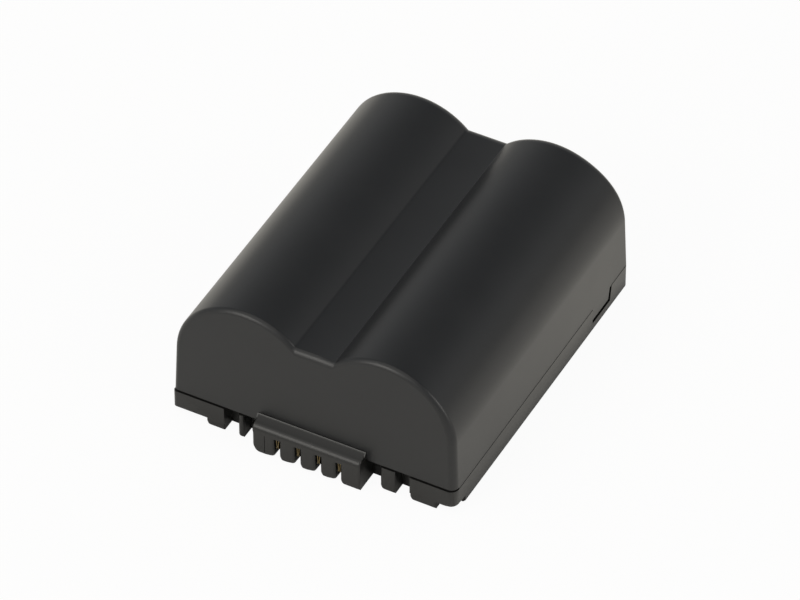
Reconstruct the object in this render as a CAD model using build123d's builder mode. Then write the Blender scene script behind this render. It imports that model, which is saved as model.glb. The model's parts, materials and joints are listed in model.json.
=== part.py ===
"""Twin-cell camera battery: a moulded pack on a flat base, with a slotted contact nose at the front.

Frame: X across the pack, Y along it with the contact nose at -Y, Z up. The origin is the middle of the
base, below the centre of the whole length. All sizes are in millimetres and angles in degrees.
"""

import os
from math import cos, radians, sin, sqrt, tan

from build123d import *

# Cells
cell_diameter = 16.0
cell_length = 34.5
cap_diameter = 6.0
cap_height = 0.7
sleeve_wall = 0.10
sleeve_clearance = 0.02
cell_gap = 0.77
washer_thickness = 0.3
washer_margin = 1.0

# Upper moulding
cell_clearance = 0.06
hump_wall = 0.55
end_wall = 0.90
valley_depth = 2.52
side_draft = 2.25
end_draft = 1.0
front_edge_radius = 0.60
rear_edge_radius = 1.00
seam_gap = 0.20
seam_gap_depth = 0.65
tab_length = 4.30
tab_drop = 1.75
tab_taper = 0.35
tab_from_rear = 4.45
tab_front_clearance = 0.06
tab_clearance = 0.32

# Base tray
tray_floor = 1.12
seam_height = 3.30
tray_proud = 0.03
tray_front_proud = 0.12
tray_left_corner = 0.40
tray_rear_corner = 0.70
tray_edge_bevel = 0.30
tongue_height = 0.80
tongue_clearance = 0.10
tongue_width = 0.60
relief_height = 0.75
relief_depth = 2.50
left_pad_width = 2.25
right_pad_width = 3.22
notch_depth = 1.80
notch_wall = 0.80
notch_width = 1.78
left_rib_width = 0.68
right_rib_width = 1.84
tooth_radius = 0.55
tooth_front_bevel = 0.20
tooth_corner_share = 0.45
tooth_front_share = 0.30
cradle_width = 1.20
cradle_height = 1.90
cradle_from_end = 6.0
recess_depth = 0.20
recess_margin = 2.60
recess_corner = 1.0

# Contact nose and contacts
nose_reach = 1.38
nose_corner_radius = 1.00
contact_names = ("contact_plus", "contact_data", "contact_thermal", "contact_minus")
contact_pitch = 2.55
contact_offset = 0.02
slot_width = 0.55
slot_height = 3.00
left_finger_width = 2.80
right_finger_width = 2.42
finger_bevel = 0.32
lip_front_height = 3.94
lip_slope_height = 4.42
lip_rim_height = 4.63
lip_rim_width = 0.15
lip_radius = 0.80
lip_clearance = 0.04
mould_line_from_end = 1.60
mould_line_width = 0.10
mould_line_depth = 0.06
contact_width = 0.42
contact_thickness = 0.09
contact_clearance = 0.03
contact_setback = 0.30
contact_depth = 1.00
contact_throat = 0.04
contact_throat_height = 1.80
contact_mouth = 0.16
contact_mouth_height = 1.50
contact_leg = 2.60

# Board, strips, papers and pads
board_width = 25.0
board_height = 12.4
board_thickness = 0.80
board_gap = 0.50
rail_height = 3.6
rail_overlap = 0.8
rail_clearance = 0.05
rail_gap = 0.15
strip_thickness = 0.15
tab_bay = 1.10
end_tab_width = 4.0
end_tab_weld = 4.0
end_tab_solder = 1.8
link_height = 4.0
link_overlap = 2.5
midpoint_width = 2.4
midpoint_foot = 3.0
midpoint_solder = 1.9
midpoint_lift = 0.05
paper_thickness = 0.25
paper_margin = 0.6
cushion_thickness = 1.06
cushion_height = 7.0
cushion_overlap = 4.0
tape_thickness = 0.28
tape_width = 5.0
tape_length = 18.0
tape_clearance = 0.02

# Parts on the board: length along X, height along Z, reach from the board
chip_size = (3.0, 4.4, 1.0)
chip_lead_pitch = 0.65
chip_lead_count = 4
chip_lead_width = 0.25
chip_lead_reach = 1.0
chip_lead_thickness = 0.15
chip_standoff = 0.10
chip_chamfer = 0.2
fuse_size = (4.5, 3.2, 0.8)
sensor_size = (1.6, 0.8, 0.7)
sensor_margin = 0.8
resistor_size = (1.6, 0.8, 0.45)
capacitor_size = (2.0, 1.25, 0.9)
passive_count = 4
passive_column = 3.0
passive_inset = 1.5

# Places worked out from the sizes above, across the pack and up
sleeve_radius = cell_diameter / 2 + sleeve_clearance + sleeve_wall
hump_inner_radius = sleeve_radius + cell_clearance
hump_radius = hump_inner_radius + hump_wall
hump_x = sleeve_radius + cell_gap / 2
cell_axis_z = tray_floor + tape_thickness + sleeve_radius
hump_top_z = cell_axis_z + hump_radius
valley_z = hump_top_z - valley_depth
side_slope = tan(radians(side_draft))
end_slope = tan(radians(end_draft))


def wall_touch(radius):
    """The point where a drafted side wall runs into a hump of this radius."""
    angle = radians(side_draft)
    return (hump_x + radius * cos(angle), cell_axis_z + radius * sin(angle))


def wall_base(radius):
    """How far out that side wall stands at the seam."""
    touch_x, touch_z = wall_touch(radius)
    return touch_x + (touch_z - seam_height) * side_slope


shell_half_width = wall_base(hump_radius)
cavity_half_width = wall_base(hump_inner_radius)
tray_half_width = shell_half_width + tray_proud
tongue_half_width = cavity_half_width - tongue_clearance
pocket_half_width = tongue_half_width - tongue_width

# Places along the pack, first from the shell's front face, then in the pack's own frame
board_front_in = notch_depth - tray_front_proud + notch_wall + board_gap
cell_front_in = board_front_in + board_thickness + tab_bay
rear_stack = 2 * strip_thickness + paper_thickness + cushion_thickness
shell_length = cell_front_in + cell_length + rear_stack + end_wall
tray_length = tray_front_proud + shell_length + tray_proud
nose_front = -(nose_reach + tray_length) / 2
tray_front = nose_front + nose_reach
shell_front = tray_front + tray_front_proud
shell_rear = shell_front + shell_length
tray_rear = tray_front + tray_length
cavity_front = shell_front + end_wall
cavity_rear = shell_rear - end_wall
notch_back = tray_front + notch_depth
pocket_front = notch_back + notch_wall
pocket_rear = cavity_rear - tongue_clearance - tongue_width
board_front = shell_front + board_front_in
board_back = board_front + board_thickness
cell_front = shell_front + cell_front_in
cell_rear = cell_front + cell_length

# Places of the nose's slots, the guide ribs and the tab
slot_count = len(contact_names)
slot_xs = [contact_offset + contact_pitch * (i - (slot_count - 1) / 2) for i in range(slot_count)]
nose_left = slot_xs[0] - slot_width / 2 - left_finger_width
nose_right = slot_xs[-1] + slot_width / 2 + right_finger_width
left_rib = (nose_left - notch_width - left_rib_width, nose_left - notch_width)
right_rib = (nose_right + notch_width, nose_right + notch_width + right_rib_width)
left_pad_x = left_rib[0] - notch_width
right_pad_x = right_rib[1] + notch_width
relief_left_x = left_pad_x - left_pad_width
relief_right_x = right_pad_x + right_pad_width
tab_rear = shell_rear - tab_from_rear
tab_front = tab_rear - tab_length


# Places of the board's parts and the strips
board_top = tray_floor + board_height
parts_low = slot_height + contact_leg
parts_z = (parts_low + board_top) / 2
parts_spacing = (board_width - 2 * passive_column) / 3
passive_spacing = (board_top - parts_low) / passive_count
bridge_z = cell_axis_z + end_tab_weld / 2
midpoint_fall = sqrt(sleeve_radius**2 - (hump_x - midpoint_width / 2) ** 2)
midpoint_z = cell_axis_z + midpoint_fall + midpoint_lift + strip_thickness / 2


def block(low, high):
    """A plain block between two corners."""
    with BuildPart() as solid:
        with BuildSketch(Plane.XY.offset(low[2])):
            with Locations(((low[0] + high[0]) / 2, (low[1] + high[1]) / 2)):
                Rectangle(high[0] - low[0], high[1] - low[1])
        extrude(amount=high[2] - low[2])
    return solid.part


def twin_section(inset, rear_y):
    """XZ section of the shell at rear_y, drawn inside the outer outline by the inset."""
    radius = hump_radius - inset
    floor_z = valley_z - inset
    touch = wall_touch(radius)
    top = (hump_x, cell_axis_z + radius)
    crease = (hump_x - sqrt(radius**2 - (floor_z - cell_axis_z) ** 2), floor_z)
    with BuildSketch(Plane.XZ.offset(-rear_y)) as section:
        with BuildLine():
            Polyline(crease, (0, floor_z), (0, seam_height), (wall_base(radius), seam_height), touch)
            ThreePointArc(touch, top, crease)
        make_face()
        mirror(about=Plane.YZ)
    return section.sketch


def tab_outline(start_x, front_gap, gap):
    """YZ outline of the side tab, widened by the gaps for the notch that takes it."""
    low_z = seam_height - tab_drop - gap
    with BuildSketch(Plane.YZ.offset(start_x)) as outline:
        with BuildLine():
            Polyline(
                (tab_front - front_gap, seam_height),
                (tab_front - front_gap, low_z),
                (tab_rear - tab_taper + gap, low_z),
                (tab_rear + gap, seam_height),
                close=True,
            )
        make_face()
    return outline.sketch


def tray_blank(low_z):
    """The tray's plan, from low_z up to the seam, with its lower edge bevelled."""
    with BuildPart() as blank:
        with BuildSketch(Plane.XY.offset(low_z)) as plan:
            with Locations((0, (tray_front + tray_rear) / 2)):
                Rectangle(2 * tray_half_width, tray_length)
            fillet(plan.vertices().group_by(Axis.Y)[0].sort_by(Axis.X)[0], tray_left_corner)
            fillet(plan.vertices().group_by(Axis.Y)[-1], tray_rear_corner)
        extrude(amount=seam_height - low_z)
        chamfer(blank.faces().sort_by(Axis.Z)[0].edges(), tray_edge_bevel)
    return blank.part


def tray_corner(low_x, high_x):
    """A front corner of the tray, relieved a step above the base."""
    with BuildPart() as corner:
        add(tray_blank(relief_height))
        keep = block((low_x, tray_front, 0), (high_x, tray_front + relief_depth, seam_height))
        add(keep, mode=Mode.INTERSECT)
    return corner.part


def tooth(low_x, high_x, front_y, back_y, radius=tooth_radius, bevel=tooth_front_bevel):
    """A pad, guide rib or nose finger: its lower left corner rounded and its front edges bevelled."""
    width = high_x - low_x
    front_bevel = min(bevel, tooth_front_share * width)
    with BuildPart() as blank:
        with BuildSketch(Plane.XZ.offset(-back_y)) as face:
            with Locations(((low_x + high_x) / 2, seam_height / 2)):
                Rectangle(width, seam_height)
            lower_left = face.vertices().group_by(Axis.Y)[0].sort_by(Axis.X)[0]
            fillet(lower_left, min(radius, tooth_corner_share * width))
        extrude(amount=back_y - front_y)
        rim = blank.faces().sort_by(Axis.Y)[0].edges().sort_by(Axis.Z)[:-1]
        chamfer(rim, front_bevel)
    return blank.part


def nose_head():
    """The bar over the slots, bevelled at its ends: its lip slopes up to a fine rim by the shell."""
    lip_back = shell_front - lip_clearance
    with BuildPart() as head:
        with BuildSketch(Plane.YZ.offset(nose_left)) as side:
            with BuildLine():
                Polyline(
                    (nose_front, slot_height),
                    (nose_front, lip_front_height),
                    (lip_back - lip_rim_width, lip_slope_height),
                    (lip_back, lip_rim_height),
                    (lip_back, seam_height),
                    (notch_back, seam_height),
                    (notch_back, slot_height),
                    close=True,
                )
            make_face()
            fillet(side.vertices().group_by(Axis.X)[0].sort_by(Axis.Y)[-1], lip_radius)
        extrude(amount=nose_right - nose_left)
        end_faces = head.faces().sort_by(Axis.X)
        end_edges = end_faces[0].edges() + end_faces[-1].edges()
        outer_edges = end_edges.filter_by_position(Axis.Z, slot_height, lip_slope_height, (False, False))
        outer_edges = outer_edges.filter_by_position(Axis.Y, nose_front, lip_back, (True, False))
        chamfer(outer_edges, tooth_front_bevel)
    return head.part


def folded_strip(points, thickness, width, centre_x):
    """A strip bent along a YZ path through its middle, with the given width across X."""
    with BuildPart() as strip:
        with BuildSketch(Plane.YZ.offset(centre_x)):
            with BuildLine():
                Polyline(*points)
            trace(line_width=thickness)
        extrude(amount=width / 2, both=True)
    return strip.part


# The upper moulding: twin humps, drafted ends, rounded end edges and a hollow inside
with BuildPart() as upper_shell:
    extrude(twin_section(0, shell_rear), amount=shell_length)
    end_lean = (hump_top_z - seam_height) * end_slope
    with BuildSketch(Plane.YZ):
        with BuildLine():
            Polyline(
                (shell_front, seam_height),
                (shell_rear, seam_height),
                (shell_rear - end_lean, hump_top_z),
                (shell_front + end_lean, hump_top_z),
                close=True,
            )
        make_face()
    extrude(amount=tray_half_width, both=True, mode=Mode.INTERSECT)
    front_face = upper_shell.faces().sort_by(Axis.Y)[0]
    fillet(front_face.edges().sort_by(Axis.Z)[1:], front_edge_radius)
    rear_face = upper_shell.faces().sort_by(Axis.Y)[-1]
    fillet(rear_face.edges().sort_by(Axis.Z)[1:], rear_edge_radius)
    extrude(twin_section(hump_wall, cavity_rear), amount=cavity_rear - cavity_front, mode=Mode.SUBTRACT)
    # Shadow gap along the front of the seam
    with BuildSketch(Plane.XY.offset(seam_height)):
        with Locations((0, shell_front)):
            Rectangle(2 * tray_half_width, 2 * seam_gap_depth)
    extrude(amount=seam_gap, mode=Mode.SUBTRACT)
    # Tapered tab that hangs from the right wall
    extrude(tab_outline(cavity_half_width, 0, 0), amount=shell_half_width - cavity_half_width)

# The base tray: floor and walls first, then the front comb of pads, ribs and nose
with BuildPart() as base_tray:
    add(tray_blank(0))
    front_cuts = (
        (-tray_half_width, left_pad_x, tray_front + relief_depth),
        (left_pad_x, right_pad_x, notch_back),
        (right_pad_x, tray_half_width, tray_front + relief_depth),
    )
    for low_x, high_x, back_y in front_cuts:
        add(block((low_x, tray_front, 0), (high_x, back_y, seam_height)), mode=Mode.SUBTRACT)
    add(tray_corner(-tray_half_width, left_pad_x))
    add(tray_corner(right_pad_x, tray_half_width))
    pad_back = tray_front + relief_depth
    add(tooth(relief_left_x, left_pad_x, tray_front, pad_back))
    add(tooth(right_pad_x, relief_right_x, tray_front, pad_back))
    for low_x, high_x in (left_rib, right_rib):
        add(tooth(low_x, high_x, tray_front, notch_back))
    # Nose fingers, one more than the slots between them
    finger_lefts = [nose_left] + [x + slot_width / 2 for x in slot_xs]
    finger_rights = [x - slot_width / 2 for x in slot_xs] + [nose_right]
    finger_radii = [nose_corner_radius] + [tooth_radius] * slot_count
    bevels = [finger_bevel] * slot_count + [tooth_front_bevel]
    for low_x, high_x, *edges in zip(finger_lefts, finger_rights, finger_radii, bevels):
        add(tooth(low_x, high_x, nose_front, notch_back, *edges))
    # Nose head with its sloped lip, and the fine line that a mould insert leaves on the first finger
    add(nose_head())
    mould_line_x = nose_left + mould_line_from_end
    mould_line_low = (mould_line_x - mould_line_width / 2, nose_front, 0)
    mould_line_high = (mould_line_x + mould_line_width / 2, nose_front + mould_line_depth, slot_height)
    add(block(mould_line_low, mould_line_high), mode=Mode.SUBTRACT)
    # Hollow for the board and the lower part of the cells, with a tongue round it that the shell fits over
    with BuildSketch(Plane.XY.offset(seam_height)):
        with Locations((0, (cavity_front + cavity_rear) / 2)):
            Rectangle(2 * tongue_half_width, cavity_rear - cavity_front - 2 * tongue_clearance)
    extrude(amount=tongue_height)
    pocket_top = seam_height + tongue_height
    add(
        block((-pocket_half_width, pocket_front, tray_floor), (pocket_half_width, pocket_rear, pocket_top)),
        mode=Mode.SUBTRACT,
    )
    # Cradles under the cells
    for cradle_y in (cell_front + cradle_from_end, cell_rear - cradle_from_end):
        with BuildSketch(Plane.XZ.offset(-cradle_y - cradle_width / 2)):
            with Locations((0, tray_floor + cradle_height / 2)):
                Rectangle(2 * pocket_half_width, cradle_height)
            with Locations((-hump_x, cell_axis_z), (hump_x, cell_axis_z)):
                Circle(sleeve_radius + tape_clearance, mode=Mode.SUBTRACT)
        extrude(amount=cradle_width)
    # Rails that hold the board's ends
    rail_inner = board_width / 2 - rail_overlap
    rail_spans = (
        (pocket_front, board_front - rail_clearance),
        (board_back + rail_clearance, cell_front - rail_gap),
    )
    for low_y, high_y in rail_spans:
        for low_x, high_x in ((-pocket_half_width, -rail_inner), (rail_inner, pocket_half_width)):
            add(block((low_x, low_y, tray_floor), (high_x, high_y, tray_floor + rail_height)))
    # Windows that the contacts pass through
    window_half = contact_width / 2 + contact_clearance
    window_low = slot_height - contact_thickness - contact_clearance
    for x in slot_xs:
        low = (x - window_half, notch_back, window_low)
        high = (x + window_half, pocket_front, slot_height)
        add(block(low, high), mode=Mode.SUBTRACT)
    # Notch for the shell's tab
    notch_start = cavity_half_width - tongue_clearance
    tab_notch = tab_outline(notch_start, tab_front_clearance, tab_clearance)
    extrude(tab_notch, amount=tray_half_width - notch_start, mode=Mode.SUBTRACT)
    # Shallow recess under the base
    with BuildSketch():
        recess_front = pocket_front + recess_margin
        recess_rear = tray_rear - recess_margin
        with Locations((0, (recess_front + recess_rear) / 2)):
            RectangleRounded(2 * (tray_half_width - recess_margin), recess_rear - recess_front, recess_corner)
    extrude(amount=recess_depth, mode=Mode.SUBTRACT)

pieces = {"upper_shell": upper_shell.part, "base_tray": base_tray.part}

# Contacts: a solder leg on the board, a run through the window and a pair of leaves that close on a blade
leg_y = board_front - contact_thickness / 2
run_z = slot_height - contact_thickness / 2
spring_front = nose_front + contact_setback
contact_path = ((leg_y, parts_low), (leg_y, run_z), (spring_front, run_z))
leaf_path = (
    ((contact_width - contact_thickness) / 2, run_z),
    ((contact_throat + contact_thickness) / 2, contact_throat_height),
    ((contact_mouth + contact_thickness) / 2, contact_mouth_height),
)
for name, x in zip(contact_names, slot_xs):
    with BuildPart() as contact:
        add(folded_strip(contact_path, contact_thickness, contact_width, x))
        for way in (-1, 1):
            with BuildSketch(Plane.XZ.offset(-spring_front - contact_depth)):
                with BuildLine():
                    Polyline(*[(x + way * leaf_x, leaf_z) for leaf_x, leaf_z in leaf_path])
                trace(line_width=contact_thickness)
            extrude(amount=contact_depth)
    pieces[name] = contact.part


def cell_pieces(centre_x, flat_y, cap_y):
    """A round cell, its sleeve and the washer round its cap, with the cap at cap_y."""
    way = 1 if cap_y > flat_y else -1
    shoulder = cap_y - way * cap_height
    can_z = cell_axis_z + cell_diameter / 2
    cap_z = cell_axis_z + cap_diameter / 2
    axis = Axis((centre_x, 0, cell_axis_z), (0, 1, 0))
    with BuildPart() as cell:
        with BuildSketch(Plane.YZ.offset(centre_x)):
            with BuildLine():
                Polyline(
                    (flat_y, cell_axis_z),
                    (flat_y, can_z),
                    (shoulder, can_z),
                    (shoulder, cap_z),
                    (cap_y, cap_z),
                    (cap_y, cell_axis_z),
                    close=True,
                )
            make_face()
        revolve(axis=axis)
    sleeve_inner = cell_diameter / 2 + sleeve_clearance
    with BuildPart() as sleeve:
        with BuildSketch(Plane.XZ.offset(-max(flat_y, shoulder))):
            with Locations((centre_x, cell_axis_z)):
                Circle(sleeve_radius)
                Circle(sleeve_inner, mode=Mode.SUBTRACT)
        extrude(amount=abs(shoulder - flat_y))
    with BuildPart() as washer:
        with BuildSketch(Plane.XZ.offset(-max(shoulder, shoulder + way * washer_thickness))):
            with Locations((centre_x, cell_axis_z)):
                Circle(cell_diameter / 2 - washer_margin)
                Circle(cap_diameter / 2 + sleeve_clearance, mode=Mode.SUBTRACT)
        extrude(amount=washer_thickness)
    return cell.part, sleeve.part, washer.part


# Cells head to tail: the left one's cap is at the rear, the right one's at the front
for side, centre_x, flat_y, cap_y in (
    ("left", -hump_x, cell_front, cell_rear),
    ("right", hump_x, cell_rear, cell_front),
):
    cell, sleeve, washer = cell_pieces(centre_x, flat_y, cap_y)
    pieces[f"cell_{side}"] = cell
    pieces[f"sleeve_{side}"] = sleeve
    pieces[f"cap_washer_{side}"] = washer

# Adhesive foam under each cell, pressed to the cell's curve
for side, centre_x in (("left", -hump_x), ("right", hump_x)):
    with BuildPart() as tape:
        tape_rear = (cell_front + cell_rear + tape_length) / 2
        with BuildSketch(Plane.XZ.offset(-tape_rear)):
            with Locations((centre_x, tray_floor + cradle_height / 2)):
                Rectangle(tape_width, cradle_height)
            with Locations((centre_x, cell_axis_z)):
                Circle(sleeve_radius + tape_clearance, mode=Mode.SUBTRACT)
        extrude(amount=tape_length)
    pieces[f"cell_tape_{side}"] = tape.part

# Nickel strips: the link at the rear, the midpoint strip in the groove and the two front tabs
link_half = hump_x + link_overlap
with BuildPart() as series_link:
    with BuildSketch(Plane.XZ.offset(-cell_rear - strip_thickness)):
        with Locations((0, cell_axis_z)):
            Rectangle(2 * link_half, link_height)
    extrude(amount=strip_thickness)
pieces["series_link"] = series_link.part
link_y = cell_rear + 1.5 * strip_thickness
solder_y = board_back + strip_thickness / 2
midpoint_path = (
    (link_y, midpoint_z - midpoint_foot),
    (link_y, midpoint_z),
    (solder_y, midpoint_z),
    (solder_y, midpoint_z - midpoint_solder),
)
pieces["midpoint_strip"] = folded_strip(midpoint_path, strip_thickness, midpoint_width, 0)
weld_y = cell_front - strip_thickness / 2
end_tab_path = (
    (weld_y, cell_axis_z - end_tab_weld / 2),
    (weld_y, bridge_z),
    (solder_y, bridge_z),
    (solder_y, bridge_z + end_tab_solder),
)
for name, centre_x in (("negative_tab", -hump_x), ("positive_tab", hump_x)):
    pieces[name] = folded_strip(end_tab_path, strip_thickness, end_tab_width, centre_x)

# The upright board
with BuildPart() as protection_board:
    with BuildSketch(Plane.XZ.offset(-board_back)):
        with Locations((0, (tray_floor + board_top) / 2)):
            Rectangle(board_width, board_height)
    extrude(amount=board_thickness)
pieces["protection_board"] = protection_board.part


def gull_lead(lead_x, edge_z, way):
    """A lead that leaves a chip's side at edge_z, drops to the board and ends in a foot."""
    upper_y = board_front - (chip_size[2] + chip_standoff) / 2
    inner_z = edge_z + way * (chip_lead_reach - chip_lead_thickness) / 2
    outer_z = inner_z + way * chip_lead_thickness
    foot_z = edge_z + way * chip_lead_reach
    root_z = edge_z - way * chip_chamfer
    with BuildPart() as lead:
        with BuildSketch(Plane.YZ.offset(lead_x)):
            with BuildLine():
                Polyline(
                    (upper_y, root_z),
                    (upper_y - chip_lead_thickness, root_z),
                    (upper_y - chip_lead_thickness, outer_z),
                    (board_front - chip_lead_thickness, outer_z),
                    (board_front - chip_lead_thickness, foot_z),
                    (board_front, foot_z),
                    (board_front, inner_z),
                    (upper_y, inner_z),
                    close=True,
                )
            make_face()
        extrude(amount=chip_lead_width / 2, both=True)
    return lead.part


def chip(centre_x):
    """A small moulded circuit with gull-wing leads along its upper and lower sides."""
    width, height, reach = chip_size
    with BuildPart() as body:
        with BuildSketch(Plane.XZ.offset(-(board_front - chip_standoff))):
            with Locations((centre_x, parts_z)):
                Rectangle(width, height)
        extrude(amount=reach - chip_standoff)
        chamfer(body.faces().sort_by(Axis.Y)[0].edges(), chip_chamfer)
        for i in range(chip_lead_count):
            lead_x = centre_x + chip_lead_pitch * (i - (chip_lead_count - 1) / 2)
            for way in (-1, 1):
                edge_z = parts_z + way * height / 2
                add(gull_lead(lead_x, edge_z, way))
    return body.part


pieces["protection_chip"] = chip(-parts_spacing)
pieces["switch_chip"] = chip(0)


def on_board(size, places, face_y, way):
    """Block parts that sit on a face of the board, one for each place."""
    with BuildPart() as blocks:
        with BuildSketch(Plane.XZ.offset(-max(face_y, face_y + way * size[2]))):
            with Locations(*places):
                Rectangle(size[0], size[1])
        extrude(amount=size[2])
    return blocks.part


passive_x = board_width / 2 - passive_inset
passive_zs = [parts_low + passive_spacing * (i + 0.5) for i in range(passive_count)]
sensor_x = -(midpoint_width + sensor_size[0]) / 2 - sensor_margin
sensor_z = midpoint_z - midpoint_solder / 2
pieces["overcurrent_fuse"] = on_board(fuse_size, [(parts_spacing, parts_z)], board_front, -1)
pieces["chip_resistors"] = on_board(resistor_size, [(-passive_x, z) for z in passive_zs], board_front, -1)
pieces["chip_capacitors"] = on_board(capacitor_size, [(passive_x, z) for z in passive_zs], board_front, -1)
pieces["heat_sensor"] = on_board(sensor_size, [(sensor_x, sensor_z)], board_back, 1)

# Insulating papers and the rear cushion
paper_half = rail_inner - paper_margin
paper_low = tray_floor + paper_margin
paper_high = bridge_z - strip_thickness - paper_margin
pieces["board_insulator"] = block(
    (-paper_half, board_back, paper_low), (paper_half, board_back + paper_thickness, paper_high)
)
paper_front = cell_rear + 2 * strip_thickness
with BuildPart() as rear_insulator:
    with BuildSketch(Plane.XZ.offset(-paper_front - paper_thickness)):
        with Locations((-hump_x, cell_axis_z), (hump_x, cell_axis_z)):
            Circle(sleeve_radius - paper_margin)
        with Locations((0, cell_axis_z)):
            Rectangle(2 * hump_x, sleeve_radius)
    extrude(amount=paper_thickness)
pieces["rear_insulator"] = rear_insulator.part
cushion_front = paper_front + paper_thickness
cushion_half = hump_x + cushion_overlap
pieces["rear_cushion"] = block(
    (-cushion_half, cushion_front, cell_axis_z - cushion_height / 2),
    (cushion_half, cavity_rear, cell_axis_z + cushion_height / 2),
)

os.makedirs("parts", exist_ok=True)
for name, piece in pieces.items():
    piece.label = name
    export_step(piece, f"parts/{name}.step")
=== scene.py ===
# %% [markdown]
# A camera battery, dressed for its picture
#
# The object is a small black pack for a compact camera: a moulded cover with two round humps over two
# cells, a flat tray below it, and a slotted nose with four gold contacts at the front. The measured parts
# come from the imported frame. This lesson gives them their finish, their light and their camera.

# %% Load the measured parts
import json
from math import asin, atan2, cos, pi, radians, sin, tan

import bmesh
import bpy
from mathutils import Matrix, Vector


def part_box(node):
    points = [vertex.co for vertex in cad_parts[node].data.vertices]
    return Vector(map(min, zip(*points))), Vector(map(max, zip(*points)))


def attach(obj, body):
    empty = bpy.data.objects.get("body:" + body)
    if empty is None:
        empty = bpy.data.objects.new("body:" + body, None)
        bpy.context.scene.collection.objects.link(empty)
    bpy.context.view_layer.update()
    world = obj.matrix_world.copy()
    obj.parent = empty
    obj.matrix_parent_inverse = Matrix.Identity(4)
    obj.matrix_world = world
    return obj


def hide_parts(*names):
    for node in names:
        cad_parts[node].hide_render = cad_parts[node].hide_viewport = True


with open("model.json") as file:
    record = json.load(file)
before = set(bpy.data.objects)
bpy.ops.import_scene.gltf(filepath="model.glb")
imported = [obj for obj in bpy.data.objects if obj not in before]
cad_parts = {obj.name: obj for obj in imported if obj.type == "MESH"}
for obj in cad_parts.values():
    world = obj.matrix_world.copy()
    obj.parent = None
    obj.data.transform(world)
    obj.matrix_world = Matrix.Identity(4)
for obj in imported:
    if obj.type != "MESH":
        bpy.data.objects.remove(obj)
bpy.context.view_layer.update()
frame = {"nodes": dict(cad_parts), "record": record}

nodes = frame["nodes"]
MM = 0.001

print("nodes:", len(nodes))

# %% [markdown]
# The camera
#
# A product picture is often taken from far away with a long lens, so that the sides of a box stay nearly
# parallel. The pack is seen from above its front right corner. The camera is placed by two angles round
# the pack and a distance, which says more to a reader than three coordinates would.

# %% Place the camera
view_azimuth = radians(27.947)
view_elevation = radians(42.910)
view_distance = 738.915 * MM
view_target = Vector((-0.387, 0.715, 7.039)) * MM
lens_length = 299.96
sensor_width = 36.0
nearest_seen = 0.05
farthest_seen = 20.0

towards_camera = Vector((
    sin(view_azimuth) * cos(view_elevation),
    -cos(view_azimuth) * cos(view_elevation),
    sin(view_elevation),
))
camera_data = bpy.data.cameras.new("product_camera")
camera_data.lens = lens_length
camera_data.sensor_width = sensor_width
camera_data.clip_start = nearest_seen
camera_data.clip_end = farthest_seen
camera = bpy.data.objects.new("product_camera", camera_data)
camera.location = view_target + towards_camera * view_distance
camera.rotation_euler = (-towards_camera).to_track_quat("-Z", "Y").to_euler()
bpy.context.scene.collection.objects.link(camera)
bpy.context.scene.camera = camera
print("camera at mm:", [round(v / MM, 1) for v in camera.location])

# %% [markdown]
# The floor
#
# The pack lies on a white sweep of paper. Black plastic shows little colour of its own, and most of what the
# eye reads on its walls is the mirror image of this paper. The floor is a plain plane of matt paper that
# takes the pack's soft shadow. Two glows lift it. One makes it evenly white to the camera, as an overexposed
# sweep is. The other is painted light that only mirrors see, and it stands for the bright sweep that the
# walls mirror. This painted light grows towards the back, where the sweep is lit most, and fades to the
# right and far away. Round the pack it fades into a painted shadow and stops at the pack's edge, because no
# light reaches the paper under it.

# %% Make the floor
floor_size = 6.0
floor_drop = 0.02 * MM
paper_colour = (0.93, 0.92, 0.90, 1.0)
painted_sweep_colour = (1.0, 0.965, 0.88, 1.0)
white = (1.0, 1.0, 1.0, 1.0)
white_share = 0.94
# The painted light that mirrors see: how strong it is at each place on the floor, and how wide the painted
# shadow round the pack fades out.
painted_light_front = (-40.0 * MM, 0.06)
painted_light_back = (20.0 * MM, 0.95)
painted_light_side = (23.0 * MM, 0.97)
painted_light_right = (35.0 * MM, 0.32)
painted_light_near = (50.0 * MM, 1.0)
painted_light_far = (200.0 * MM, 0.45)
painted_shadow_side = 1.4 * MM
painted_shadow_end = 6.5 * MM


def sums(tree, operation, first, second):
    """A Math node on two inputs, each a number or a socket."""
    node = tree.nodes.new("ShaderNodeMath")
    node.operation = operation
    for socket, value in zip(node.inputs, (first, second)):
        if isinstance(value, float):
            socket.default_value = value
        else:
            tree.links.new(value, socket)
    return node.outputs[0]


def ramp_over(tree, amount, low, high):
    """A number that runs from one pair of (place, value) to another, and stays there outside them."""
    spread = tree.nodes.new("ShaderNodeMapRange")
    spread.inputs["From Min"].default_value, spread.inputs["To Min"].default_value = low
    spread.inputs["From Max"].default_value, spread.inputs["To Max"].default_value = high
    tree.links.new(amount, spread.inputs["Value"])
    return spread.outputs["Result"]


def glow_over(tree, below, share, colour):
    """Mixes a glow of strength one over a shader."""
    glow = tree.nodes.new("ShaderNodeEmission")
    glow.inputs["Color"].default_value = colour
    glow.inputs["Strength"].default_value = 1.0
    mix = tree.nodes.new("ShaderNodeMixShader")
    tree.links.new(share, mix.inputs[0])
    tree.links.new(below, mix.inputs[1])
    tree.links.new(glow.outputs[0], mix.inputs[2])
    return mix.outputs[0]


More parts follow.
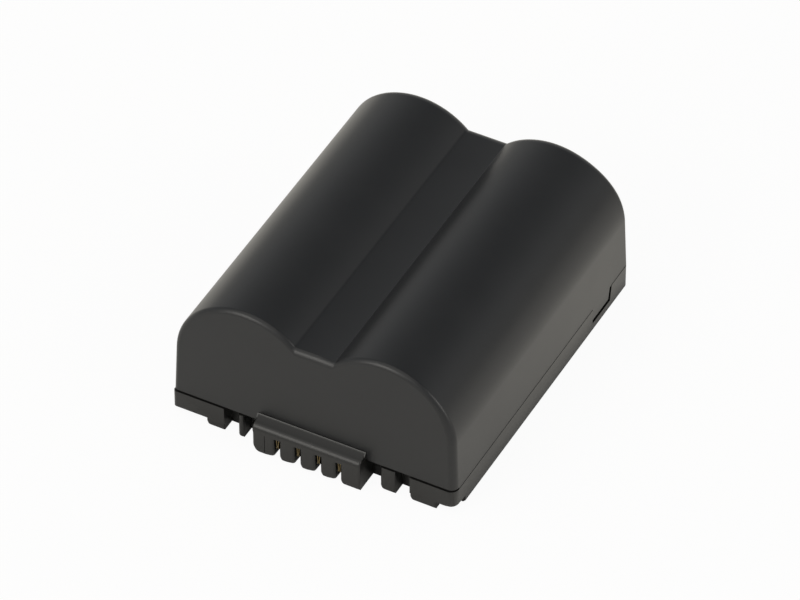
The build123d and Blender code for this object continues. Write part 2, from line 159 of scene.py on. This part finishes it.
def white_sweep(low, high):
    """Paper that keeps a soft shadow, reads as white to the camera, and shows mirrors painted light with a
    painted shadow round the pack.
    """
    paper = bpy.data.materials.new("white_sweep")
    paper.use_nodes = True
    tree = paper.node_tree
    tree.nodes.clear()
    output = tree.nodes.new("ShaderNodeOutputMaterial")
    matt = tree.nodes.new("ShaderNodeBsdfDiffuse")
    matt.inputs["Color"].default_value = paper_colour
    path = tree.nodes.new("ShaderNodeLightPath")
    place = tree.nodes.new("ShaderNodeTexCoord")
    axes = tree.nodes.new("ShaderNodeSeparateXYZ")
    tree.links.new(place.outputs["Object"], axes.inputs[0])
    beyond = []
    clear = []
    for axis, start, end, shade in (("X", low.x, high.x, painted_shadow_side), ("Y", low.y, high.y, painted_shadow_end)):
        from_middle = sums(tree, "SUBTRACT", axes.outputs[axis], (start + end) / 2)
        reach = sums(tree, "ABSOLUTE", from_middle, 0.0)
        beyond.append(sums(tree, "SUBTRACT", reach, (end - start) / 2))
        clear.append(ramp_over(tree, beyond[-1], (0.0, 0.0), (shade, 1.0)))
    # The painted light starts at zero under the pack, as a painted shadow, and rises to full over the fade
    # widths beyond its edge.
    mirrored = sums(tree, "MAXIMUM", *clear)
    for share in (
        ramp_over(tree, axes.outputs["Y"], painted_light_front, painted_light_back),
        ramp_over(tree, axes.outputs["X"], painted_light_side, painted_light_right),
        ramp_over(tree, sums(tree, "MAXIMUM", *beyond), painted_light_near, painted_light_far),
        path.outputs["Is Glossy Ray"],
    ):
        mirrored = sums(tree, "MULTIPLY", mirrored, share)
    seen = sums(tree, "MULTIPLY", path.outputs["Is Camera Ray"], white_share)
    lifted = glow_over(tree, matt.outputs[0], mirrored, painted_sweep_colour)
    tree.links.new(glow_over(tree, lifted, seen, white), output.inputs["Surface"])
    return paper


floor_mesh = bpy.data.meshes.new("floor")
bm = bmesh.new()
bmesh.ops.create_grid(bm, x_segments=1, y_segments=1, size=floor_size / 2)
bmesh.ops.translate(bm, verts=bm.verts, vec=(0, 0, -floor_drop))
bm.to_mesh(floor_mesh)
bm.free()
floor = bpy.data.objects.new("floor", floor_mesh)
floor_mesh.materials.append(white_sweep(*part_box("upper_shell")))
bpy.context.scene.collection.objects.link(floor)
print("floor:", floor_size, "m square")

# %% [markdown]
# The light
#
# The shades of the real pack tell how it was lit. The walls mirror the white floor. The sides of the humps
# mirror the pale sweep that rises behind them, and their tops, which mirror the room above the sweep, are
# the darkest. The sloped lip and the front edges are lighter again, so a wide softbox hangs overhead and in
# front. Thin highlights on the lip and along the front edges of the humps show two smaller lamps, one in
# front and one upright at the right. The world holds the sweep and the dim room as shades by height.

# %% Light the room
room_shades = (
    (0.00, (0.34, 0.34, 0.33)),
    (0.12, (0.51, 0.51, 0.50)),
    (0.35, (0.64, 0.645, 0.645)),
    (0.50, (0.48, 0.49, 0.505)),
    (0.66, (0.36, 0.37, 0.375)),
    (0.80, (0.16, 0.17, 0.19)),
)


def soft_room():
    """A world with a pale sweep low down and a dim room above it."""
    world = bpy.data.worlds.new("soft_room")
    world.use_nodes = True
    tree = world.node_tree
    tree.nodes.clear()
    output = tree.nodes.new("ShaderNodeOutputWorld")
    background = tree.nodes.new("ShaderNodeBackground")
    ramp = tree.nodes.new("ShaderNodeValToRGB")
    height = tree.nodes.new("ShaderNodeSeparateXYZ")
    direction = tree.nodes.new("ShaderNodeTexCoord")
    stops = ramp.color_ramp.elements
    stops.remove(stops[1])
    for level, shade in room_shades:
        stop = stops[0] if level == 0.0 else stops.new(level)
        stop.position = level
        stop.color = (*shade, 1.0)
    tree.links.new(direction.outputs["Generated"], height.inputs[0])
    tree.links.new(height.outputs["Z"], ramp.inputs[0])
    tree.links.new(ramp.outputs[0], background.inputs["Color"])
    tree.links.new(background.outputs[0], output.inputs["Surface"])
    return world


bpy.context.scene.world = soft_room()

lamp_colour = (1.0, 0.97, 0.91)
lamps = {
    "softbox": ((1.5, 1.7), 6.4, Vector((-0.15, -0.40, 1.0))),
    "front_lamp": ((0.50, 0.70), 3.5, Vector((-0.41, -1.00, 0.50))),
    "side_lamp": ((0.30, 0.80), 2.4, Vector((1.10, 0.02, 0.46))),
}
for name, (size, power, place) in lamps.items():
    lamp_data = bpy.data.lights.new(name, "AREA")
    lamp_data.shape = "RECTANGLE"
    lamp_data.size, lamp_data.size_y = size
    lamp_data.energy = power
    lamp_data.color = lamp_colour
    lamp = bpy.data.objects.new(name, lamp_data)
    lamp.location = place
    lamp.rotation_euler = (-place).to_track_quat("-Z", "Y").to_euler()
    bpy.context.scene.collection.objects.link(lamp)
bpy.context.scene.view_settings.view_transform = "Standard"
print("lamps:", {name: power for name, (size, power, place) in lamps.items()})

# %% [markdown]
# Moulded black plastic
#
# Both mouldings are black plastic from a spark-eroded mould, which leaves a very fine, even grain. The grain
# is far too small to model, so it is bump from a noise with a pitch of a tenth of a millimetre. A slow noise
# moves the roughness and the black a little, as the flow of the plastic does.

# %% Finishes of the mouldings
noise_low, noise_high = 0.3, 0.7
rich_detail = 3.0
grain_pitch = 0.10 * MM
grain_depth = 0.006 * MM
grain_strength = 0.30
flow_pitch = 6.0 * MM
plastic_ior = 1.5


def new_finish(name):
    """A material with one surface shader, and a point in the piece's own coordinates to draw on."""
    finish = bpy.data.materials.new(name)
    finish.use_nodes = True
    tree = finish.node_tree
    shader = tree.nodes["Principled BSDF"]
    place = tree.nodes.new("ShaderNodeTexCoord")
    return finish, tree, shader, place.outputs["Object"]


def noise_on(tree, place, pitch, detail=2.0):
    """A noise whose grains are about one pitch across."""
    noise = tree.nodes.new("ShaderNodeTexNoise")
    noise.inputs["Scale"].default_value = 1.0 / pitch
    noise.inputs["Detail"].default_value = detail
    tree.links.new(place, noise.inputs["Vector"])
    return noise.outputs["Fac"]


def between(tree, amount, low, high):
    """Turns a noise into a number from low to high."""
    return ramp_over(tree, amount, (noise_low, low), (noise_high, high))


def shades(tree, amount, dark, light):
    """Turns a noise into a colour between two shades."""
    ramp = tree.nodes.new("ShaderNodeValToRGB")
    ramp.color_ramp.elements[0].position = noise_low
    ramp.color_ramp.elements[0].color = (*dark, 1.0)
    ramp.color_ramp.elements[1].position = noise_high
    ramp.color_ramp.elements[1].color = (*light, 1.0)
    tree.links.new(amount, ramp.inputs["Fac"])
    return ramp.outputs["Color"]


def grain_on(tree, shader, amount, depth, strength):
    """Fine relief from a noise, of the given depth."""
    bump = tree.nodes.new("ShaderNodeBump")
    bump.inputs["Distance"].default_value = depth
    bump.inputs["Strength"].default_value = strength
    tree.links.new(amount, bump.inputs["Height"])
    tree.links.new(bump.outputs["Normal"], shader.inputs["Normal"])


def moulded_black(name, dark, light, smooth, rough):
    """Black plastic with a spark-eroded grain."""
    finish, tree, shader, place = new_finish(name)
    grain = noise_on(tree, place, grain_pitch)
    flow = noise_on(tree, place, flow_pitch, rich_detail)
    tree.links.new(shades(tree, flow, dark, light), shader.inputs["Base Color"])
    tree.links.new(between(tree, flow, smooth, rough), shader.inputs["Roughness"])
    grain_on(tree, shader, grain, grain_depth, grain_strength)
    shader.inputs["IOR"].default_value = plastic_ior
    return finish


finishes = {
    "shell_plastic": moulded_black(
        "shell_plastic", (0.0084, 0.0088, 0.0094), (0.0100, 0.0104, 0.0110), 0.33, 0.36
    ),
    "tray_plastic": moulded_black(
        "tray_plastic", (0.0082, 0.0080, 0.0075), (0.0098, 0.0096, 0.0089), 0.33, 0.36
    ),
}
print("plastics:", sorted(finishes))

# %% [markdown]
# Metals
#
# The contacts are strips of copper alloy with a thin gold plate. The plate mirrors the room warmly, and it
# carries fine marks along the way in which the camera's blades wipe it. The straps between the cells and the
# board are rolled nickel, and the cans are drawn steel. All three have marks that run one way, so one
# function makes them from a noise that is stretched along the piece.

# %% Finishes of the metals
mark_pitch = 0.06 * MM
mark_depth = 0.002 * MM
mark_strength = 0.3
tint_pitch = 1.2 * MM


def drawn_metal(name, dark, light, smooth, rough, stretch):
    """Bare metal with fine marks along the direction in which the stretch is smallest."""
    finish, tree, shader, place = new_finish(name)
    along = tree.nodes.new("ShaderNodeMapping")
    along.inputs["Scale"].default_value = stretch
    tree.links.new(place, along.inputs["Vector"])
    marks = noise_on(tree, along.outputs["Vector"], mark_pitch, rich_detail)
    tint = noise_on(tree, place, tint_pitch)
    tree.links.new(shades(tree, tint, dark, light), shader.inputs["Base Color"])
    tree.links.new(between(tree, marks, smooth, rough), shader.inputs["Roughness"])
    grain_on(tree, shader, marks, mark_depth, mark_strength)
    shader.inputs["Metallic"].default_value = 1.0
    return finish


# The gold is kept far darker than bright plating, as painted shade for the depth of the slots it sits in. Its
# marks and slow tint are its own.
finishes["contact_plating"] = drawn_metal(
    "contact_plating", (0.15, 0.115, 0.055), (0.21, 0.16, 0.08), 0.24, 0.34, (1.0, 0.15, 0.15)
)
finishes["nickel_strip"] = drawn_metal(
    "nickel_strip", (0.60, 0.58, 0.54), (0.68, 0.66, 0.62), 0.24, 0.36, (1.0, 0.10, 1.0)
)
finishes["cell_can"] = drawn_metal(
    "cell_can", (0.60, 0.61, 0.62), (0.67, 0.68, 0.69), 0.22, 0.34, (1.0, 0.05, 1.0)
)
print("plastics and metals:", sorted(finishes))

# %% [markdown]
# The inside
#
# Nobody sees the inside of a closed pack, but the parts are there and each has its own look: green shrink
# film round the cells, pale fish paper, a green solder-masked board, black moulded chips, fired ceramic and
# foam. A spotted noise moves the colour and the roughness, and its depth sets how coarse the surface is.

# %% Finishes of the inside
fleck_strength = 0.4


def flecked(name, dark, light, pitch, smooth, rough, depth):
    """A matt or glossy material whose colour, roughness and relief follow one noise."""
    finish, tree, shader, place = new_finish(name)
    flecks = noise_on(tree, place, pitch, rich_detail)
    tree.links.new(shades(tree, flecks, dark, light), shader.inputs["Base Color"])
    tree.links.new(between(tree, flecks, smooth, rough), shader.inputs["Roughness"])
    grain_on(tree, shader, flecks, depth, fleck_strength)
    return finish


inside_looks = {
    "cell_sleeve": ((0.030, 0.130, 0.085), (0.040, 0.160, 0.105), 3.0 * MM, 0.20, 0.30, 0.010 * MM),
    "insulating_paper": ((0.48, 0.45, 0.34), (0.58, 0.55, 0.44), 0.30 * MM, 0.70, 0.85, 0.015 * MM),
    "board_laminate": ((0.010, 0.075, 0.026), (0.014, 0.095, 0.034), 0.50 * MM, 0.26, 0.38, 0.006 * MM),
    "chip_moulding": ((0.012, 0.012, 0.013), (0.018, 0.018, 0.019), 0.06 * MM, 0.50, 0.62, 0.006 * MM),
    "passive_ceramic": ((0.28, 0.20, 0.12), (0.36, 0.27, 0.17), 0.12 * MM, 0.45, 0.60, 0.004 * MM),
    "foam": ((0.018, 0.018, 0.018), (0.036, 0.036, 0.036), 0.18 * MM, 0.85, 0.95, 0.050 * MM),
}
for slot_name, look in inside_looks.items():
    finishes[slot_name] = flecked(slot_name, *look)
print("finishes:", len(finishes))

# %% [markdown]
# A finish for each part
#
# Each part of the frame says in its record which material it is made of. The finishes have the same names, so
# one loop dresses all the parts, and a part that is added later gets its finish without a new line here.

# %% Give the carried parts their finishes
slots = {part["node"]: part["material_slot"] for part in frame["record"]["subparts"]}
for name, node in nodes.items():
    node.data.materials.clear()
    node.data.materials.append(finishes[slots[name]])
print("parts with a finish:", len(slots))

# %% [markdown]
# The cover
#
# The cover is one moulding with walls of about half a millimetre to a millimetre. Its mould is cut as one
# section drawn along the pack: a flat valley, an arc over each cell and a wall with a little draft. The mesh
# is built the same way. One point at the crease is spun round the axis of a cell to give the arc, a wall is
# drawn down from it, the half is mirrored, and the section is drawn out to the other end. An inner skin makes
# it hollow.

# %% Sizes of the cover, from the frame where it has them
shell_low, shell_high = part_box("upper_shell")
sleeve_low, sleeve_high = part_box("sleeve_right")
axis_x = (sleeve_low.x + sleeve_high.x) / 2
axis_z = (sleeve_low.z + sleeve_high.z) / 2
hump_radius = shell_high.z - axis_z
valley_depth = 2.52 * MM
valley_z = shell_high.z - valley_depth
seam_z = 3.30 * MM
seam_gap = 0.20 * MM
seam_gap_depth = 0.95 * MM
side_wall = 0.55 * MM
front_wall = 1.15 * MM
rear_wall = 0.90 * MM
side_draft = radians(2.25)
end_slope = tan(radians(1.0))
cover_front = shell_low.y - seam_gap * end_slope
cover_rear = shell_high.y
arc_steps = 60
tiny = 0.002 * MM
print("humps: radius mm", round(hump_radius / MM, 3), "axis mm", round(axis_x / MM, 3), round(axis_z / MM, 3))

# %% Draw the two skins


def parts_of(items, kind):
    """The vertices, edges or faces among the items that an operator gives back."""
    return [item for item in items if isinstance(item, kind)]


def points_of(items):
    """The vertices of some edges or faces, each once and in a fixed order."""
    return list(dict.fromkeys(vert for item in items for vert in item.verts))


def middle_of(edge):
    """The middle of an edge."""
    return (edge.verts[0].co + edge.verts[1].co) / 2


def open_rim(bm):
    """The edges with a face on one side only."""
    return [edge for edge in bm.edges if edge.is_boundary]


def twin_skin(bm, inset, front_y, rear_y, slope):
    """One skin of the cover, open below: a section over both humps, drawn along the pack to leaning ends."""
    earlier = set(bm.verts)
    radius = hump_radius - inset
    floor_z = valley_z - inset
    lift = asin((floor_z - axis_z) / radius)
    touch_z = axis_z + radius * sin(side_draft)
    wall_x = axis_x + radius * cos(side_draft) + (touch_z - seam_z) * tan(side_draft)
    crease = bm.verts.new((axis_x - radius * cos(lift), rear_y, floor_z))
    centre = (axis_x, rear_y, axis_z)
    sweep = pi - lift - side_draft
    arc = bmesh.ops.spin(bm, geom=[crease], cent=centre, axis=(0, 1, 0), angle=sweep, steps=arc_steps)
    touch = parts_of(arc["geom_last"], bmesh.types.BMVert)[0]
    foot = bm.verts.new((wall_x, rear_y, seam_z))
    middle = bm.verts.new((0, rear_y, floor_z))
    bm.edges.new((touch, foot))
    bm.edges.new((crease, middle))
    section = [edge for edge in bm.edges if not edge.link_faces]
    bmesh.ops.mirror(bm, geom=points_of(section) + section, axis="X", merge_dist=tiny)
    rear_edges = [edge for edge in bm.edges if not edge.link_faces]
    drawn = bmesh.ops.extrude_edge_only(bm, edges=rear_edges)["geom"]
    front_points = parts_of(drawn, bmesh.types.BMVert)
    bmesh.ops.translate(bm, verts=front_points, vec=(0, front_y - rear_y, 0))
    at_front = set(front_points)
    front_edges = [edge for edge in parts_of(drawn, bmesh.types.BMEdge) if at_front.issuperset(edge.verts)]
    for end_edges in (front_edges, rear_edges):
        feet = [vert for vert in points_of(end_edges) if abs(vert.co.z - seam_z) < tiny]
        bmesh.ops.contextual_create(bm, geom=end_edges + [bm.edges.new(feet)])
    for vert in set(bm.verts) - earlier:
        inwards = 1 if vert.co.y < (front_y + rear_y) / 2 else -1
        vert.co.y += inwards * (vert.co.z - seam_z) * slope


cover_bm = bmesh.new()
twin_skin(cover_bm, 0.0, cover_front, cover_rear, end_slope)
outer_rim = open_rim(cover_bm)
twin_skin(cover_bm, side_wall, cover_front + front_wall, cover_rear - rear_wall, 0.0)
inner_rim = [edge for edge in open_rim(cover_bm) if edge not in outer_rim]
for edge in outer_rim:
    mate = min(inner_rim, key=lambda other: (middle_of(other) - middle_of(edge)).length)
    bmesh.ops.contextual_create(cover_bm, geom=[*edge.verts, *mate.verts])
print("rim edges:", len(outer_rim), "faces:", len(cover_bm.faces), "open edges:", len(open_rim(cover_bm)))

# %% [markdown]
# The shadow gap and the tab
#
# The front of the cover stops a little above the tray, so a dark line runs along the front of the seam and
# ends just round the corners. A tab on the right side hangs into a notch of the tray and holds the two
# mouldings together. The gap is cut with two planes, and the faces between them are taken out and closed
# again. The tab is a piece of the rim, drawn down and tapered.

# %% Cut the shadow gap
gap_back = cover_front + seam_gap_depth
gap_top = seam_z + seam_gap


def cut(bm, faces, place, normal):
    """Cuts the given faces along a plane."""
    edges = list(dict.fromkeys(edge for face in faces for edge in face.edges))
    geom = list(faces) + edges + points_of(faces)
    bmesh.ops.bisect_plane(bm, geom=geom, dist=tiny, plane_co=place, plane_no=normal)


def all_at(verts, axis, place):
    """Whether all the vertices lie at one place along an axis."""
    return all(abs(vert.co[axis] - place) < tiny for vert in verts)


def all_below(verts, axis, place):
    """Whether none of the vertices lies past a place along an axis."""
    return all(vert.co[axis] < place + tiny for vert in verts)


Y, Z = 1, 2
cut(cover_bm, cover_bm.faces[:], (0, 0, gap_top), (0, 0, 1))
low_faces = [face for face in cover_bm.faces if all_below(face.verts, Z, gap_top)]
cut(cover_bm, low_faces, (0, gap_back, 0), (0, 1, 0))
gap_faces = [
    face for face in cover_bm.faces
    if all_below(face.verts, Z, gap_top) and all_below(face.verts, Y, gap_back)
]
bmesh.ops.delete(cover_bm, geom=gap_faces, context="FACES")
open_edges = open_rim(cover_bm)
corners = [
    vert for vert in points_of(open_edges)
    if all_at([vert], Y, gap_back) and all_at([vert], Z, gap_top)
]
inner_edge = cover_bm.edges.new(corners)
for axis, place in ((Z, gap_top), (Y, gap_back)):
    loop = [edge for edge in open_edges if all_at(edge.verts, axis, place)]
    bmesh.ops.contextual_create(cover_bm, geom=loop + [inner_edge])
print("gap: faces taken out", len(gap_faces), "open edges left", len(open_rim(cover_bm)))

# %% Draw the tab down
tab_from_rear = 4.55 * MM
tab_length = 4.20 * MM
tab_drop = 1.58 * MM
tab_taper = 0.35 * MM
tab_rear = cover_rear - tab_from_rear
tab_front = tab_rear - tab_length


def right_rim(bm):
    """The faces of the rim along the right side."""
    return [
        face for face in bm.faces
        if all_at(face.verts, Z, seam_z) and face.calc_center_median().x > axis_x
    ]


for tab_end in (tab_front, tab_rear):
    cut(cover_bm, right_rim(cover_bm), (0, tab_end, 0), (0, 1, 0))
tab_faces = [face for face in right_rim(cover_bm) if tab_front < face.calc_center_median().y < tab_rear]
tab = bmesh.ops.extrude_face_region(cover_bm, geom=tab_faces)["geom"]
bmesh.ops.delete(cover_bm, geom=tab_faces, context="FACES_ONLY")
tab_points = parts_of(tab, bmesh.types.BMVert)
bmesh.ops.translate(cover_bm, verts=tab_points, vec=(0, 0, -tab_drop))
rear_points = [vert for vert in tab_points if all_at([vert], Y, tab_rear)]
bmesh.ops.translate(cover_bm, verts=rear_points, vec=(0, -tab_taper, 0))
bmesh.ops.recalc_face_normals(cover_bm, faces=cover_bm.faces)
print("tab points:", len(tab_points), "loose edges:", sum(not edge.is_manifold for edge in cover_bm.edges))

# %% [markdown]
# Edges that grow rounder
#
# The end edges of the cover aren't rounded evenly. At the front the right upright corner is softer than the
# edges over the humps, and at the rear right it is the other way round. A bevel by weight can do this: each
# edge carries a share of the largest radius, and the share changes slowly where an upright corner runs into a
# hump. The creases along the valley stay crisp.

# %% Round the end edges
largest_radius = 1.25 * MM
front_left, front_right, front_top, front_valley = 0.55 * MM, 0.90 * MM, 0.62 * MM, 0.85 * MM
rear_left, rear_right, rear_top, rear_valley = 1.05 * MM, 0.57 * MM, 1.22 * MM, 1.22 * MM
front_turn = (radians(10), radians(50))
rear_turn = (radians(20), radians(70))
crease_angle = radians(30)


def edge_radius(place, left, right, top, valley, turn):
    """The radius at a place on an end edge, between that of the upright corner and that over the hump."""
    if place.z < valley_z + tiny and abs(place.x) < axis_x:
        return valley
    upright = left if place.x < 0 else right
    angle = atan2(place.z - axis_z, abs(place.x) - axis_x)
    share = min(max((angle - turn[0]) / (turn[1] - turn[0]), 0), 1)
    return upright + (top - upright) * share * share * (3 - 2 * share)


def on_end(vert, start, way):
    """Whether a vertex lies on the leaning end that starts at the seam at this place."""
    return abs(vert.co.y - start - way * (vert.co.z - seam_z) * end_slope) < tiny


ends = (
    (cover_front, 1, (front_left, front_right, front_top, front_valley, front_turn)),
    (cover_rear, -1, (rear_left, rear_right, rear_top, rear_valley, rear_turn)),
)
weights = cover_bm.edges.layers.float.new("bevel_weight_edge")
rounded = 0
for edge in cover_bm.edges:
    edge.smooth = edge.calc_face_angle(0) < crease_angle
    middle = middle_of(edge)
    level = abs(edge.verts[0].co.z - edge.verts[1].co.z) < tiny and middle.z < valley_z - tiny
    for start, way, radii in ends:
        if not level and all(on_end(vert, start, way) for vert in edge.verts):
            edge[weights] = edge_radius(middle, *radii) / largest_radius
            edge.smooth = True
            rounded += 1
for face in cover_bm.faces:
    face.smooth = True
print("rounded edges:", rounded)

# %% Make the cover
end_segments = 6
broad_weight = 90


def new_piece(name, bm, node, slot):
    """An object at the origin that stands for a node of the frame and takes one finish."""
    mesh = bpy.data.meshes.new(name)
    bm.to_mesh(mesh)
    bm.free()
    mesh.materials.append(finishes[slot])
    piece = bpy.data.objects.new(name, mesh)
    bpy.context.scene.collection.objects.link(piece)
    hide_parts(node)
    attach(piece, "root")
    return piece


def even_normals(piece):
    """Lets the broad faces set the shading, so that narrow bevels between them look round."""
    modifier = piece.modifiers.new("even_normals", "WEIGHTED_NORMAL")
    modifier.keep_sharp = True
    modifier.weight = broad_weight


cover = new_piece("cover", cover_bm, "upper_shell", "shell_plastic")
bevel = cover.modifiers.new("round_ends", "BEVEL")
bevel.limit_method = "WEIGHT"
bevel.width = largest_radius
bevel.segments = end_segments
bevel.profile = 0.5
bevel.use_clamp_overlap = False
even_normals(cover)
print("cover faces:", len(cover.data.polygons))

# %% [markdown]
# The tray
#
# The tray is the other moulding: a flat pan with a comb of pads, ribs and fingers at its front. Its measured
# mesh already has nearly the right form, but it is a heap of loose triangles, and each narrow bevel would look
# like a flat facet. A copy is merged, flat regions are joined, and the broad faces set the shading, which makes
# the bevels read as the small radii of a mould. The front right corner and the lower right corners of the first
# four fingers are crisp on the measured tray, and on the real one they are well rounded, so they are bevelled
# here.

# %% Soften the tray
sharp_angle = radians(52)
flat_angle = radians(0.4)
corner_radius = 1.0 * MM
corner_bevel = 0.30 * MM
corner_segments = 8
finger_radius = 0.62 * MM
finger_bevel = 0.32 * MM
half_slot = 0.275 * MM
near = 0.01 * MM
merge_distance = 0.5 * tiny
tray_proud = 0.12 * MM
tray_front = shell_low.y - tray_proud
tray_bm = bmesh.new()
tray_bm.from_mesh(nodes["base_tray"].data)
bmesh.ops.remove_doubles(tray_bm, verts=tray_bm.verts, dist=merge_distance)
bmesh.ops.dissolve_limit(tray_bm, angle_limit=flat_angle, verts=tray_bm.verts, edges=tray_bm.edges)
tray_low, tray_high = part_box("base_tray")


def at_corner(vert):
    """Whether a vertex of the tray lies on its front right corner, the bevel below it included."""
    inwards = tray_high.x - vert.co.x
    backwards = vert.co.y - tray_front
    return abs(inwards - backwards) < near and inwards < corner_bevel + near


def at_finger(vert):
    """Whether a vertex lies on the lower right corner of a finger, the bevel at its front included."""
    bevelled = max(finger_bevel - (vert.co.y - tray_low.y), 0)
    level = abs(vert.co.z - bevelled) < near
    return level and any(abs(side - bevelled - vert.co.x) < near for side in finger_sides)


def round_edges(bm, on_edge, radius):
    """Bevels the edges whose two ends pass a test."""
    edges = [edge for edge in bm.edges if all(on_edge(vert) for vert in edge.verts)]
    bmesh.ops.bevel(
        bm, geom=edges, offset=radius, offset_type="OFFSET", segments=corner_segments, profile=0.5,
        affect="EDGES", material=-1, clamp_overlap=False,
    )
    print("edges rounded:", len(edges))


finger_sides = []
for name in ("contact_plus", "contact_data", "contact_thermal", "contact_minus"):
    contact_low, contact_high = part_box(name)
    finger_sides.append((contact_low.x + contact_high.x) / 2 - half_slot)
round_edges(tray_bm, at_corner, corner_radius)
round_edges(tray_bm, at_finger, finger_radius)
for edge in tray_bm.edges:
    edge.smooth = edge.calc_face_angle(0) < sharp_angle
for face in tray_bm.faces:
    face.smooth = True
print("tray: faces", len(tray_bm.faces), "loose edges", sum(not edge.is_manifold for edge in tray_bm.edges))
tray = new_piece("tray", tray_bm, "base_tray", "tray_plastic")
even_normals(tray)
